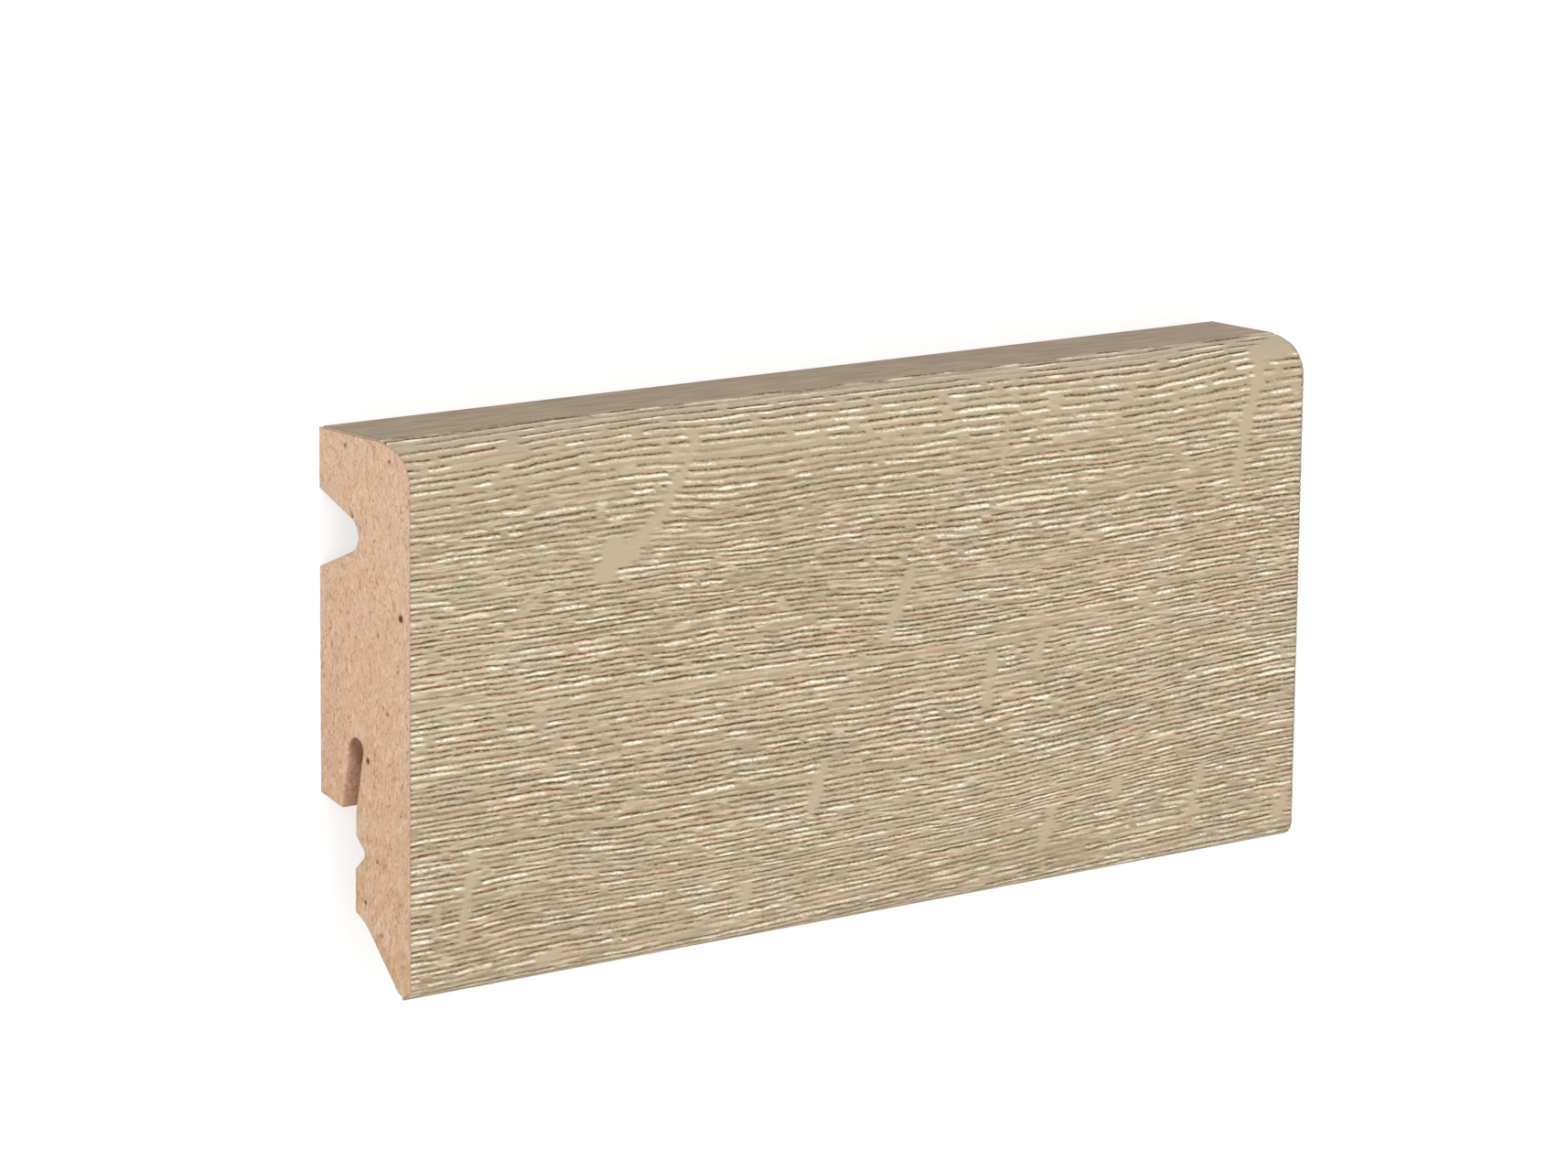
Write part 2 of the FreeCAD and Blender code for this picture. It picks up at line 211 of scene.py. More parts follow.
# Where the wood's rays cross the face as smooth slanted flecks that the grain stops at, how much
# flatter than round their ends are, the width over which they fade, and how ragged they are
RAYS = (
    # from (along, height), to (along, height), half width
    (25.4, 43.6, 26.8, 46.6, 1.6),
    (28.0, 45.2, 29.8, 46.6, 1.5),
    (30.6, 47.2, 33.4, 49.6, 0.8),
    (33.4, 49.6, 37.8, 57.0, 0.8),
    (64.8, 31.8, 68.4, 38.8, 0.85),
    (86.8, 26.8, 88.6, 29.6, 0.85),
    (79.8, 22.6, 80.6, 28.2, 0.65),
    (54.2, 13.2, 56.0, 18.6, 0.75),
    (6.4, 5.8, 8.2, 15.0, 0.65),
    (3.1, 7.2, 3.4, 9.8, 0.4),
    (17.0, 2.2, 19.0, 2.5, 0.95),
    (88.2, 4.2, 90.0, 8.0, 0.9),
    (99.4, 8.8, 100.2, 10.4, 0.8),
    (111.4, 5.6, 113.3, 10.8, 0.7),
    (117.6, 44.0, 118.8, 50.0, 0.7),
    (118.8, 50.0, 122.0, 60.0, 0.95),
    (124.5, 59.5, 127.5, 60.5, 2.2),
    (125.6, 3.2, 126.6, 5.0, 0.9),
    (81.6, 50.0, 82.4, 55.0, 0.5),
    (45.0, 4.2, 45.4, 6.2, 0.5),
)
RAY_FLATNESS = 1.3
RAY_FADE = 0.6
RAY_RAGGEDNESS = 0.45

# A pore's place in its pitch, the range of the pitches round the usual one, the range of its half
# widths, the most of the pitch that the half width takes, and how much wider it is on the crown
PORE_PLACE = 0.38
PITCH_RANGE = (0.78, 1.22)
HALF_WIDTHS = (0.135, 0.2)
WIDEST = 0.29
CROWN_WIDENING = 1.7
# A pitch from which on the land between two pores has a second row of points
WIDE_PITCH = 0.75

# A line's stretches along the board: their mean and least length, the mean of the gaps beyond the
# least one, the range of their strengths, and the share that is faint
PORE_DASHES = {"mean_on": 13, "least_on": 3.0, "mean_off": 0.4, "levels": (0.78, 1.12), "faint": 0.05}
GLEAM_DASHES = {"mean_on": 4.6, "least_on": 1.0, "mean_off": 6.5, "levels": (0.65, 1.2), "faint": 0.25}
FAINT_LEVELS = (0.1, 0.4)
LEAST_GAP = 0.5
TAPER = 0.5

# The strength of the pores that stand out and of those that stand back, and how often the one kind
# is followed by the other
STANDS_OUT, STANDS_BACK = 1.16, 0.78
ALTERNATION = 0.86

# Depths of the embossing: of the land between the pores and how much it drifts, of the pores' cuts
# at full strength, how far the gleaming land is lifted, the deepest of all, and the foil's edges
LAND_DEPTH = 0.030
LAND_DRIFT = 0.012
CUT_DEPTHS = (0.09, 0.15)
GLEAM_LIFT = 0.025
DEEPEST = 0.22
EDGE_DEPTH = 0.02

# The strength of a lip's dark and painted highlight beside those of the pore's floor and the land, and
# the strength of the painted highlight at the board's left and right end
LIP_DARK = 0.08
LIP_GLEAM = 0.2
END_GLEAMS = (0.93, 1.1)

# Where the grain starts on the crown: how wide its ragged band and the dark line at its border are,
# how much darker the pores are in that band, partly as painted shade, and how strong the cream
# patches and the line, which is partly painted shade too
ONSET_WIDTH = 2.4
BORDER_WIDTH = 0.6
ONSET_DARK_AND_SHADE = 0.8
CREAM_PATCHES = 0.8
BORDER_DARK = 0.75

# The heights between which the land grows paler towards the nose, how calm it becomes there, and
# how much stronger its painted highlights become
PALE_FROM, PALE_TO = 49, 57
NOSE_CALM = 0.6
NOSE_GLEAM = 0.3

# How much painted shading changes over the face: darker at the floor edge, paler towards the nose
SHADE_RISE = 0.018
SHADE_MIDDLE = 30

# How far apart the lines lie that the pores follow through the noise
LINE_STEP = 7.3


def sweep(x, height):
    lift = 0.0
    for rise, start, end, middle, band in SWEEPS:
        within = np.exp(-(((height - middle) / band) ** 2))
        lift = lift + rise * smooth_step((x - start) / (end - start)) * within
    return lift


def ray_cover(x, height, ragged):
    """1 inside a ray fleck and 0 outside it."""
    cover = 0.0
    for x0, h0, x1, h1, half_width in RAYS:
        dx, dh = x1 - x0, h1 - h0
        t = np.clip(((x - x0) * dx + (height - h0) * dh) / (dx * dx + dh * dh), 0, 1)
        away = np.hypot(x - x0 - t * dx, (height - h0 - t * dh) * RAY_FLATNESS)
        cover = np.maximum(cover, smooth_step((half_width + ragged - away) / RAY_FADE + 0.45))
    return cover


def grain_pitch(along):
    """The distance between two pores: closer towards the floor edge, wider near the nose."""
    heights = (-3, 6, 12, 18, 30, 44, 50, 54, 58, 60, 63)
    pitches = (0.58, 0.58, 0.64, 0.64, 0.63, 0.63, 0.69, 0.82, 1.02, 1.25, 1.35)
    return float(np.interp(face_height(along), heights, pitches))


def grain_contrast(x, height):
    """How strongly the pores and what lies beside them show at a place on the face."""
    heights = (3, 6, 9, 24, 38, 42, 46, 50, 54, 58)
    strengths = (0.80, 0.88, 1.00, 1.02, 1.08, 0.95, 0.81, 0.80, 0.86, 0.94)
    return np.interp(height, heights, strengths) * np.interp(x, (0, LENGTH), (0.96, 1.05))


def dashes(rng, x, mean_on, least_on, mean_off, levels, faint):
    """A line's strength along the board: stretches of random strength, with gaps between them.
    A share of the stretches is faint."""
    strength = np.zeros(x.shape)
    at = -rng.uniform(0, mean_on)
    while at < LENGTH:
        on = least_on + rng.exponential(mean_on - least_on)
        level = rng.uniform(*(levels if rng.uniform() > faint else FAINT_LEVELS))
        inside = smooth_step(np.minimum(x - at, at + on - x) / TAPER)
        strength = np.maximum(strength, level * inside)
        at += on + LEAST_GAP + rng.exponential(mean_off)
    return strength


def lay_out_rows(rng):
    """The rows of points that run along the board: for each its place along the girth, the pore
    that it belongs to, and its side. Side 0 is the pore's floor, -1 and 1 are the lips above and
    below it, 2 is the land below the lower lip, which catches the light, and 3 is other land or
    the smooth top. Then each pore's half width."""
    rows = [(at, 0, 3) for at in np.arange(0, ROWS_START, TOP_STEP)]
    widths = [0.0]
    at = ROWS_START
    while at < ROWS_END:
        pitch = grain_pitch(at) * rng.uniform(*PITCH_RANGE)
        broad = float(np.interp(at, (GRAIN_START, FACE_START), (CROWN_WIDENING, 1.0)))
        width = min(rng.uniform(*HALF_WIDTHS) * broad, WIDEST * pitch)
        middle, pore = at + PORE_PLACE * pitch, len(widths)
        land = middle + width + min(0.13 * broad, 0.4 * ((1 - PORE_PLACE) * pitch - width))
        rows += [(middle, pore, -1), (middle, pore, 0), (middle, pore, 1), (land, pore, 2)]
        if pitch > WIDE_PITCH:
            rows.append((land + 0.17 * broad, pore, 3))
        widths.append(width)
        at += pitch
    rows.append((at, len(widths), 3))
    return np.array(rows), np.array(widths + [0.0])


def draw_pores(rng, tone, x, line):
    """For each pore its strength along the board, the painted highlight on the land below it, and its
    cut.
    """
    pores = len(line)
    # Most pores stand between two that are stronger or two that are fainter than they are
    turns = rng.uniform(size=(pores, 1)) < ALTERNATION
    stands_out = (np.cumsum(turns, axis=0) % 2).astype(bool)
    strength = np.array([dashes(rng, x, **PORE_DASHES) for _ in range(pores)])
    strength *= np.where(stands_out, STANDS_OUT, STANDS_BACK) * (1 + 0.2 * tone(x / 1.7, line))
    # A painted highlight on the land below a pore, where it would catch the light: strongest in
    # places, and the more the deeper the pore is
    gleam = np.array([dashes(rng, x, **GLEAM_DASHES) for _ in range(pores)])
    gleam = strength * (0.33 + 0.85 * gleam * (1 + 0.4 * tone(x / 1.1 + 60, line)))
    cut = rng.uniform(*CUT_DEPTHS, (pores, 1)) * strength
    return strength, gleam, cut


def foil_mesh(x, along, inward):
    """The foil's points and faces: its embossed outer side, its glued side, and the rim between
    them. The glued side has only two columns, one at each end of the board."""
    count, columns = along.shape
    outer_height, outer_depth = round_the_foil(along, inward)
    outer = np.stack([np.broadcast_to(x, along.shape), outer_height, outer_depth], -1)
    glued_height, glued_depth = round_the_foil(along[:, [0, -1]], np.full((1, 1), FOIL_GLUE_SIDE))
    ends_x = np.broadcast_to(np.array([0.0, LENGTH]), glued_height.shape)
    glued = np.stack([ends_x, glued_height, glued_depth], -1)

    index = np.arange(count * columns).reshape(count, columns)
    inner = count * columns + np.arange(count * 2).reshape(count, 2)
    faces = list(quads(index)) + list(quads(inner)[:, ::-1])
    faces += list(np.stack([index[:-1, 0], inner[:-1, 0], inner[1:, 0], index[1:, 0]], -1))
    faces += list(np.stack([index[:-1, -1], index[1:, -1], inner[1:, 1], inner[:-1, 1]], -1))
    faces.append(np.r_[index[0], inner[0, 1], inner[0, 0]])
    faces.append(np.r_[index[-1][::-1], inner[-1, 0], inner[-1, 1]])
    return np.r_[outer.reshape(-1, 3), glued.reshape(-1, 3)], faces


def build_foil():
    """The foil with its embossed grain. The pores are cut into it, and its attributes carry the
    print's colours from the grain, with painted highlights and painted shade."""
    rng = np.random.default_rng(SEED)
    flow, ripple, tone, ragged = (Noise(rng) for _ in range(4))
    rows, widths = lay_out_rows(rng)
    count = len(rows)
    x = np.linspace(0, LENGTH, FOIL_QUADS // count)
    place, pore, side = rows[:, :1], rows[:, 1].astype(int), rows[:, 2:]
    # Each pore has its own line through the noise
    line = LINE_STEP * np.arange(len(widths))[:, None]
    strength, gleam, cut = draw_pores(rng, tone, x, line)

    # Where the rows run
    width = widths[:, None] * (1 + 0.28 * tone(x / 1.2 + 90, line))
    wander = widths[:, None] * (0.32 * flow(x / 12, line) + 0.35 * flow(x / 4.5 + 30, line))
    wander += 0.08 * ripple(x / 1.25, line)
    place = place + (np.abs(side) == 1) * side * width[pore] + (side < 3) * wander[pore]
    height = face_height(place)
    lift = sweep(x, height)
    lift = lift + 0.11 * flow(x / 7 + 31, place / 2.6) + 0.06 * ripple(x / 2.9, place / 1.4)
    along = np.clip(place - smooth_step(place / 4) * lift, 0, None)
    # Each row stays a little below the one before it, and the last of them stack up at the foil's
    # lower edge
    order = ROW_GAP * np.arange(count)[:, None]
    along = np.maximum.accumulate(along - order, axis=0) + order
    along = np.minimum(along, GIRTH - order[::-1])

    # Where the grain shows: not on the rays, and from an uneven edge on the crown to the tip
    on_ray = ray_cover(x, face_height(along), RAY_RAGGEDNESS * ragged(x / 2.5, line)[pore])
    edge = GRAIN_START + 0.5 * flow(x / 4 + 50, 0.5) + 0.15 * ripple(x / 1.6 + 20, 0.5)
    grained = (1 - on_ray) * smooth_step((along - edge) / 0.35 + 0.5)
    grained *= smooth_step((GRAIN_END - along) / 0.6 + 0.5)
    near_nose = smooth_step((height - PALE_FROM) / (PALE_TO - PALE_FROM))
    contrast = grain_contrast(x, height)
    # Where the grain starts on the crown, its lines break up between cream patches and darken, partly
    # as painted shade, and a broken dark line borders it, partly painted shade too
    grain_onset = 1 - smooth_step((along - edge) / ONSET_WIDTH)
    broken = smooth_step(2.4 * ragged(x / 3.3 + 20, line)[pore] - 0.2)
    creamy = smooth_step(2.4 * ragged(x / 3.1 + 70, line)[pore])
    border = smooth_step(2.0 * ragged(x / 3.2 + 159, 3.0) + 0.6) * (1 - on_ray)
    border = border * np.exp(-(((along - edge) / BORDER_WIDTH) ** 2))

    # The print's dark pores, and painted highlights on the land beside them
    floor_or_lip = np.where(side == 0, 1.0, np.where(np.abs(side) == 1, LIP_DARK, 0.0))
    dark = floor_or_lip * strength[pore] * grained
    # Darker pores near the grain's start, partly painted shade
    dark *= (1 + ONSET_DARK_AND_SHADE * grain_onset) * (1 - grain_onset * broken)
    dark *= contrast
    # The dark border line at the grain's start, partly painted shade
    dark = np.maximum(dark, BORDER_DARK * border)
    glint = ((side == 2) + LIP_GLEAM * (side == 1)) * gleam[pore] * grained
    glint *= contrast * np.interp(x, (0, LENGTH), END_GLEAMS) * (1 + NOSE_GLEAM * near_nose)
    glint += CREAM_PATCHES * (side >= 2) * grain_onset * grained * creamy
    glint *= 1 - border

    # The embossing's depth
    land = LAND_DEPTH + LAND_DRIFT * tone(x / 9, place / 0.9) * grained
    inward = land + (side == 0) * cut[pore] * grained - GLEAM_LIFT * glint
    inward = np.clip(inward, 0.0, DEEPEST)
    inward[[0, -1]] = EDGE_DEPTH

    # The print's shade; where it has the top's plain colour, darkened by painted shade on the top and
    # on the turned-under tip; and where it is calm between the pores: there it is smoother and paler,
    # as on the rays, and partly so near the nose
    shade = 0.12 * tone(x / 16 + 9, place / 1.3) + 0.9 * tone(x / 40 + 3, place / 6)
    # Painted shading: darker towards the floor edge and paler towards the nose
    shade += SHADE_RISE * (height - SHADE_MIDDLE)
    below_edge = smooth_step((along - edge) / 0.9 + 0.6)
    plain_and_shade = 1 - below_edge * smooth_step((GRAIN_END - along) / 0.9 + 0.4)
    plain_and_shade *= 1 - border
    calm = np.maximum(np.maximum(on_ray, plain_and_shade), NOSE_CALM * near_nose)

    foil = add_mesh("decor_foil_grain", *foil_mesh(x, along, inward))
    print_and_light_values = {"pore": dark, "glint": glint, "shade": shade, "plain_and_shade": plain_and_shade, "calm": calm}
    for name, values in print_and_light_values.items():
        add_attribute(foil, name, np.r_[values.reshape(-1), np.zeros(count * 2)])
    return foil


# The fibreboard core

# The distance between points along the section's outline and on the sawn ends, and how far the
# points strewn on an end are moved at random and kept from its rim, as parts of that distance
EDGE_STEP = 0.35
GRID_STEP = 0.2
STREW = 0.35
RIM_CLEARANCE = 0.55
# What the triangulation is told: to keep the triangles inside the ring, and which points are one
INSIDE_ONLY = 1
MERGE_DISTANCE = 1e-5
# The width of the broken edge round a sawn end
BROKEN_EDGE = 0.10

# The range of heights and of depths that holds the clip slot's walls and no other part of the
# section's outline
SLOT_HEIGHTS = (19.0, 27.2)
SLOT_DEPTHS = (3.0, 9.0)

# How far the milled sides lie inside the CAD's, and how deep the cutter's short and long marks are
SIDE_DEPTH = 0.014
SHORT_MARKS = 0.006
LONG_MARKS = 0.008
# How deep the sawn ends are torn: in the mean, by coarse and by fine fibres, and at most. Then how
# much deeper a speck is than what surrounds it
TEAR_DEPTH = 0.035
COARSE_TEAR = 0.030
FINE_TEAR = 0.015
DEEPEST_TEAR = 0.11
SPECK_DEPTH = 0.05
# How far the first and the last column of points stand from the ends
END_GAP = 0.12

# Dark specks in the end face, how much taller than wide they are, and how wide they fade
SPECKS = (
    # height, depth, radius
    (41.3, 15.0, 0.36),
    (58.4, 4.9, 0.17),
    (57.8, 13.0, 0.16),
    (24.9, 8.9, 0.28),
    (9.3, 8.4, 0.20),
    (6.3, 11.4, 0.16),
    (38.8, 10.9, 0.14),
    (20.0, 15.0, 0.14),
    (30.6, 12.6, 0.15),
    (51.0, 6.2, 0.15),
    (14.2, 10.6, 0.14),
)
SPECK_TALLNESS = 1.25
SPECK_FADE = 0.22
# The specks of the other end are strewn at random
FAR_SPECKS = 12
FAR_SPECK_RADII = (0.14, 0.26)


def section_outline(node):
    """The corner points of a CAD node's end face, in order round it, in (height, depth)."""
    mesh = node.data
    places = np.array([v.co for v in mesh.vertices]) / MM - LOW
    keys = [tuple(np.round(p[1:], 4)) if p[0] < 0.001 else None for p in places]
    # An edge on the rim of the end face belongs to one of its triangles, and any other to two
    uses = {}
    mesh.calc_loop_triangles()
    for triangle in mesh.loop_triangles:
        corners = [keys[i] for i in triangle.vertices]
        if None in corners:
            continue
        for a, b in zip(corners, corners[1:] + corners[:1]):
            uses[frozenset((a, b))] = (a, b) if frozenset((a, b)) not in uses else None
    follows = dict(edge for edge in uses.values() if edge)
    start = at = next(iter(follows))
    outline = [start]
    while follows[at] != start:
        at = follows[at]
        outline.append(at)
    return np.array(outline)


def divide(outline, step):
    """The outline with more points on its longer edges."""
    points = []
    for a, b in zip(outline, np.roll(outline, -1, axis=0)):
        parts = max(1, round(math.dist(a, b) / step))
        points += [a + (b - a) * i / parts for i in range(parts)]
    return np.array(points)


def inset(outline, distance):
    """The outline moved inward by about a distance, or by one for each point."""
    distance = np.reshape(distance, (-1, 1))
    ahead, behind = np.roll(outline, -1, axis=0), np.roll(outline, 1, axis=0)
    way = ahead - behind
    way /= np.linalg.norm(way, axis=1, keepdims=True)
    side = np.stack([way[:, 1], -way[:, 0]], -1)
    area = np.sum(outline[:, 0] * ahead[:, 1] - ahead[:, 0] * outline[:, 1]) / 2
    return outline - distance * side * np.sign(area)


def fill_section(ring, rng):
    """Triangles over the end face, with points strewn between the points of its ring."""
    low, high = ring.min(0), ring.max(0)
    steps = [np.arange(a, b, GRID_STEP) for a, b in zip(low, high)]
    strewn = np.stack(np.meshgrid(*steps, indexing="ij"), -1).reshape(-1, 2)
    strewn = strewn + rng.uniform(-STREW, STREW, strewn.shape) * GRID_STEP
    inside = np.zeros(len(strewn), bool)
    nearest = np.full(len(strewn), np.inf)
    for a, b in zip(ring, np.roll(ring, -1, axis=0)):
        crosses = (a[1] > strewn[:, 1]) != (b[1] > strewn[:, 1])
        if a[1] != b[1]:
            cut = a[0] + (strewn[:, 1] - a[1]) * (b[0] - a[0]) / (b[1] - a[1])
            inside ^= crosses & (strewn[:, 0] < cut)
        nearest = np.minimum(nearest, np.hypot(*(strewn - a).T))
    strewn = strewn[inside & (nearest > RIM_CLEARANCE * GRID_STEP)]
    points = [Vector(p) for p in np.r_[ring, strewn]]
    loop = list(range(len(ring)))
    found = delaunay_2d_cdt(points, [], [loop], INSIDE_ONLY, MERGE_DISTANCE)
    places, triangles = found[0], found[2]
    return np.array(places), [tuple(t) for t in triangles]


def speck_cover(places, specks):
    """1 inside a dark speck and 0 outside it."""
    cover = np.zeros(len(places))
    for height, depth, radius in specks:
        away = np.hypot((places[:, 0] - height) / SPECK_TALLNESS, places[:, 1] - depth)
        cover = np.maximum(cover, smooth_step((radius - away) / SPECK_FADE + 0.5))
    return cover


def slot_marks_and_shade(chatter, columns, height, depth):
    """How much browner the clip slot's walls are: painted shade that grows towards the slot's inner
    end, streaked by the cutter's marks. It is 0 on the other sides."""
    (low, high), (shallow, deep) = SLOT_HEIGHTS, SLOT_DEPTHS
    in_slot = (height > low) & (height < high) & (depth > shallow) & (depth < deep)
    rise = (height - low) / (high - low)
    marks = chatter(columns[:, None] / 0.7 + height / 1.1, height / 3)
    return in_slot * (0.22 + 0.32 * rise + (0.2 + 0.25 * rise) * marks)


def build_core(node):
    """The fibreboard, with the torn fibres of its sawn ends and the cutters' marks on its sides."""
    rng = np.random.default_rng(SEED + 1)
    fibre, chatter, wave = (Noise(rng) for _ in range(3))
    ring = divide(section_outline(node), EDGE_STEP)
    cap, triangles = fill_section(inset(ring, BROKEN_EDGE), rng)
    ring_count, cap_count = len(ring), len(cap)

    # The columns stand closer near the end from which the camera sees into the slot
    columns = np.r_[np.arange(END_GAP, 4, 0.3), np.linspace(4.5, LENGTH - 2, 61), LENGTH - END_GAP]
    height, depth = ring.T
    sides = []
    for x in columns:
        cutter = SHORT_MARKS * chatter(x / 1.9, np.arange(ring_count) / 9)
        cutter = cutter + LONG_MARKS * wave(x / 17, height / 5)
        sides.append(np.c_[np.full(ring_count, x), inset(ring, SIDE_DEPTH + cutter)])
    milled_and_shade = slot_marks_and_shade(chatter, columns, height, depth)

    torn = TEAR_DEPTH + COARSE_TEAR * fibre(cap[:, 0] / 0.9, cap[:, 1] / 0.28)
    torn += FINE_TEAR * fibre(cap[:, 0] / 0.35 + 40, cap[:, 1] / 0.2)
    torn = np.clip(torn, 0, DEEPEST_TEAR)
    picked = rng.integers(ring_count, cap_count, FAR_SPECKS)
    far_specks = [(*cap[i], rng.uniform(*FAR_SPECK_RADII)) for i in picked]
    near_cover, far_cover = speck_cover(cap, SPECKS), speck_cover(cap, far_specks)
    near = np.c_[torn + SPECK_DEPTH * near_cover, cap]
    far = np.c_[LENGTH - torn - SPECK_DEPTH * far_cover, cap]

    # The points of an end's ring come first among the end's points, and each ring is closed by
    # its first point
    points = np.concatenate([near, far, *sides])
    side = 2 * cap_count + np.arange(len(columns) * ring_count).reshape(-1, ring_count)
    side = np.c_[side, side[:, 0]]
    rim = np.r_[0:ring_count, 0]
    faces = [tuple(t) for t in triangles]
    faces += [tuple(cap_count + i for i in t[::-1]) for t in triangles]
    faces += list(quads(np.concatenate([[rim], side, [cap_count + rim]])))
    core = add_mesh("mdf_core_milled", points, faces, mend=True)
    add_attribute(core, "speck", np.r_[near_cover, far_cover, np.zeros(milled_and_shade.size)])
    add_attribute(core, "milled_and_shade", np.r_[np.zeros(2 * cap_count), milled_and_shade.reshape(-1)])
    return core


# Materials


def linear(*srgb):
    """A colour from its 0 to 255 screen values."""
    parts = (c / 255 for c in srgb)
    return tuple(c / 12.92 if c <= 0.04045 else ((c + 0.055) / 1.055) ** 2.4 for c in parts) + (1,)


class Nodes:
    """A short way to write a node tree."""

    def __init__(self, name):
        self.material = bpy.data.materials.new(name)
        self.material.use_nodes = True
        self.tree = self.material.node_tree
        self.tree.nodes.clear()
        self.output = self.tree.nodes.new("ShaderNodeOutputMaterial")

    def add(self, kind, **inputs):
        """A node of a kind, with values or links for its inputs by name."""
        node = self.tree.nodes.new(f"ShaderNode{kind}")
        for key, value in inputs.items():
            self.set(node.inputs[key.replace("_", " ")], value)
        return node

    def set(self, socket, value):
        if isinstance(value, bpy.types.NodeSocket):
            self.tree.links.new(value, socket)
        else:
            socket.default_value = value

    def mix(self, factor, first, second):
        """Two colours mixed. Inputs 6 and 7 and output 2 of the node are its colours."""
        node = self.tree.nodes.new("ShaderNodeMix")
        node.data_type = "RGBA"
        self.set(node.inputs["Factor"], factor)
        self.set(node.inputs[6], first)
        self.set(node.inputs[7], second)
        return node.outputs[2]

    def math(self, operation, *values):
        node = self.tree.nodes.new("ShaderNodeMath")
        node.operation = operation
        for socket, value in zip(node.inputs, values):
            self.set(socket, value)
        return node.outputs[0]

    def times(self, first, second):
        return self.math("MULTIPLY", first, second)

    def attribute(self, name):
        node = self.add("Attribute")
        node.attribute_name = name
        return node.outputs["Fac"]

    def noise(self, scale, stretch=(1, 1, 1), detail=2.0, bend=0.0, offset=(0, 0, 0)):
        """Noise whose scale counts features a metre, made longer along an axis by its stretch."""
        mapping = self.add("Mapping", Vector=self.add("TexCoord").outputs["Object"])
        mapping.inputs["Scale"].default_value = [scale / s for s in stretch]
        mapping.inputs["Location"].default_value = offset
        noise = self.add("TexNoise", Vector=mapping.outputs[0])
        for key, value in (("Scale", 1.0), ("Detail", detail), ("Distortion", bend)):
            noise.inputs[key].default_value = value
        return noise.outputs["Fac"]

    def place(self, axis):
        """The place along an axis, in metres."""
        place = self.add("TexCoord").outputs["Object"]
        return self.add("SeparateXYZ", Vector=place).outputs[axis]

    def spread(self, value, low, high):
        """Turns a value's range from low to high into 0 to 1."""
        node = self.add("MapRange", Value=value)
        node.inputs["From Min"].default_value = low
        node.inputs["From Max"].default_value = high
        return node.outputs[0]

    def layer(self, base, value, low, high, amount, colour, where=None):
        """A colour laid over the base, up to an amount, as a value goes from low to high."""
        cover = self.times(self.spread(value, low, high), amount)
        if where is not None:
            cover = self.times(cover, where)
        return self.mix(cover, base, colour)

    def surface(self, colour, relief, strength, distance, roughness, specular):
        """The finished material, with a fine relief whose distance is in metres."""
        bump = self.add("Bump", Height=relief, Strength=strength, Distance=distance)
        shader = self.add("BsdfPrincipled", Base_Color=colour, Normal=bump.outputs[0])
        shader.inputs["Roughness"].default_value = roughness
        shader.inputs["Specular IOR Level"].default_value = specular
        self.set(self.output.inputs[0], shader.outputs[0])
        return self.material


def foil_material():
    nodes = Nodes("decor_foil")
    streak = nodes.noise(3600, (16, 1, 1), detail=3)
    pale = nodes.noise(3800, (12, 1, 1), detail=2, offset=(8, 4, 2))
    drift = nodes.noise(1500, (7, 1, 1), detail=2, offset=(3, 1, 0))
    rough = nodes.noise(4000, (2, 1, 1), detail=1, offset=(1, 5, 7))
    grit = nodes.noise(4000, (2, 1, 1), detail=1, offset=(6, 2, 9))
    vein = nodes.noise(1500, (11, 1, 1), detail=3, offset=(4, 7, 3))

    # The land between the pores, with pink, tan and light streaks where it isn't calm
    shade = nodes.spread(nodes.attribute("shade"), -1.2, 1.2)
    lively = nodes.math("MULTIPLY_ADD", nodes.attribute("calm"), -0.75, 1.0)
    base = nodes.mix(shade, linear(165, 147, 118), linear(189, 172, 143))
    base = nodes.layer(base, drift, 0.48, 0.66, 0.5, linear(212, 184, 156), lively)
    base = nodes.layer(base, streak, 0.5, 0.64, 0.6, linear(166, 143, 110), lively)
    base = nodes.layer(base, pale, 0.5, 0.66, 0.65, linear(228, 212, 184), lively)
    base = nodes.mix(nodes.times(nodes.attribute("calm"), 0.75), base, linear(197, 179, 151))

    # The pores, darker and fainter by streaks and small spots
    brown = nodes.mix(nodes.spread(drift, 0.42, 0.6), linear(88, 62, 30), linear(116, 74, 35))
    dark = nodes.times(nodes.attribute("pore"), nodes.spread(streak, -0.5, 0.5))
    uneven = nodes.math("MULTIPLY_ADD", nodes.spread(rough, 0.3, 0.7), 1.2, 0.32)
    colour = nodes.mix(nodes.times(dark, uneven), base, brown)

    # Painted highlights in cream on the land beside them
    cream = nodes.mix(nodes.spread(drift, 0.5, 0.65), linear(255, 248, 223), linear(250, 226, 197))
    uneven = nodes.math("MULTIPLY_ADD", nodes.spread(grit, 0.3, 0.7), 1.6, 0.25)
    colour = nodes.mix(nodes.times(nodes.attribute("glint"), uneven), colour, cream)

    # The smooth top and the turned-under tip: their plain colour, darkened by painted shade
    top_and_shade = nodes.mix(nodes.spread(vein, 0.38, 0.64), linear(162, 141, 113), linear(131, 110, 83))
    colour = nodes.mix(nodes.times(nodes.attribute("plain_and_shade"), 0.85), colour, top_and_shade)
    return nodes.surface(colour, streak, 0.15, 0.00004, roughness=0.55, specular=0.25)


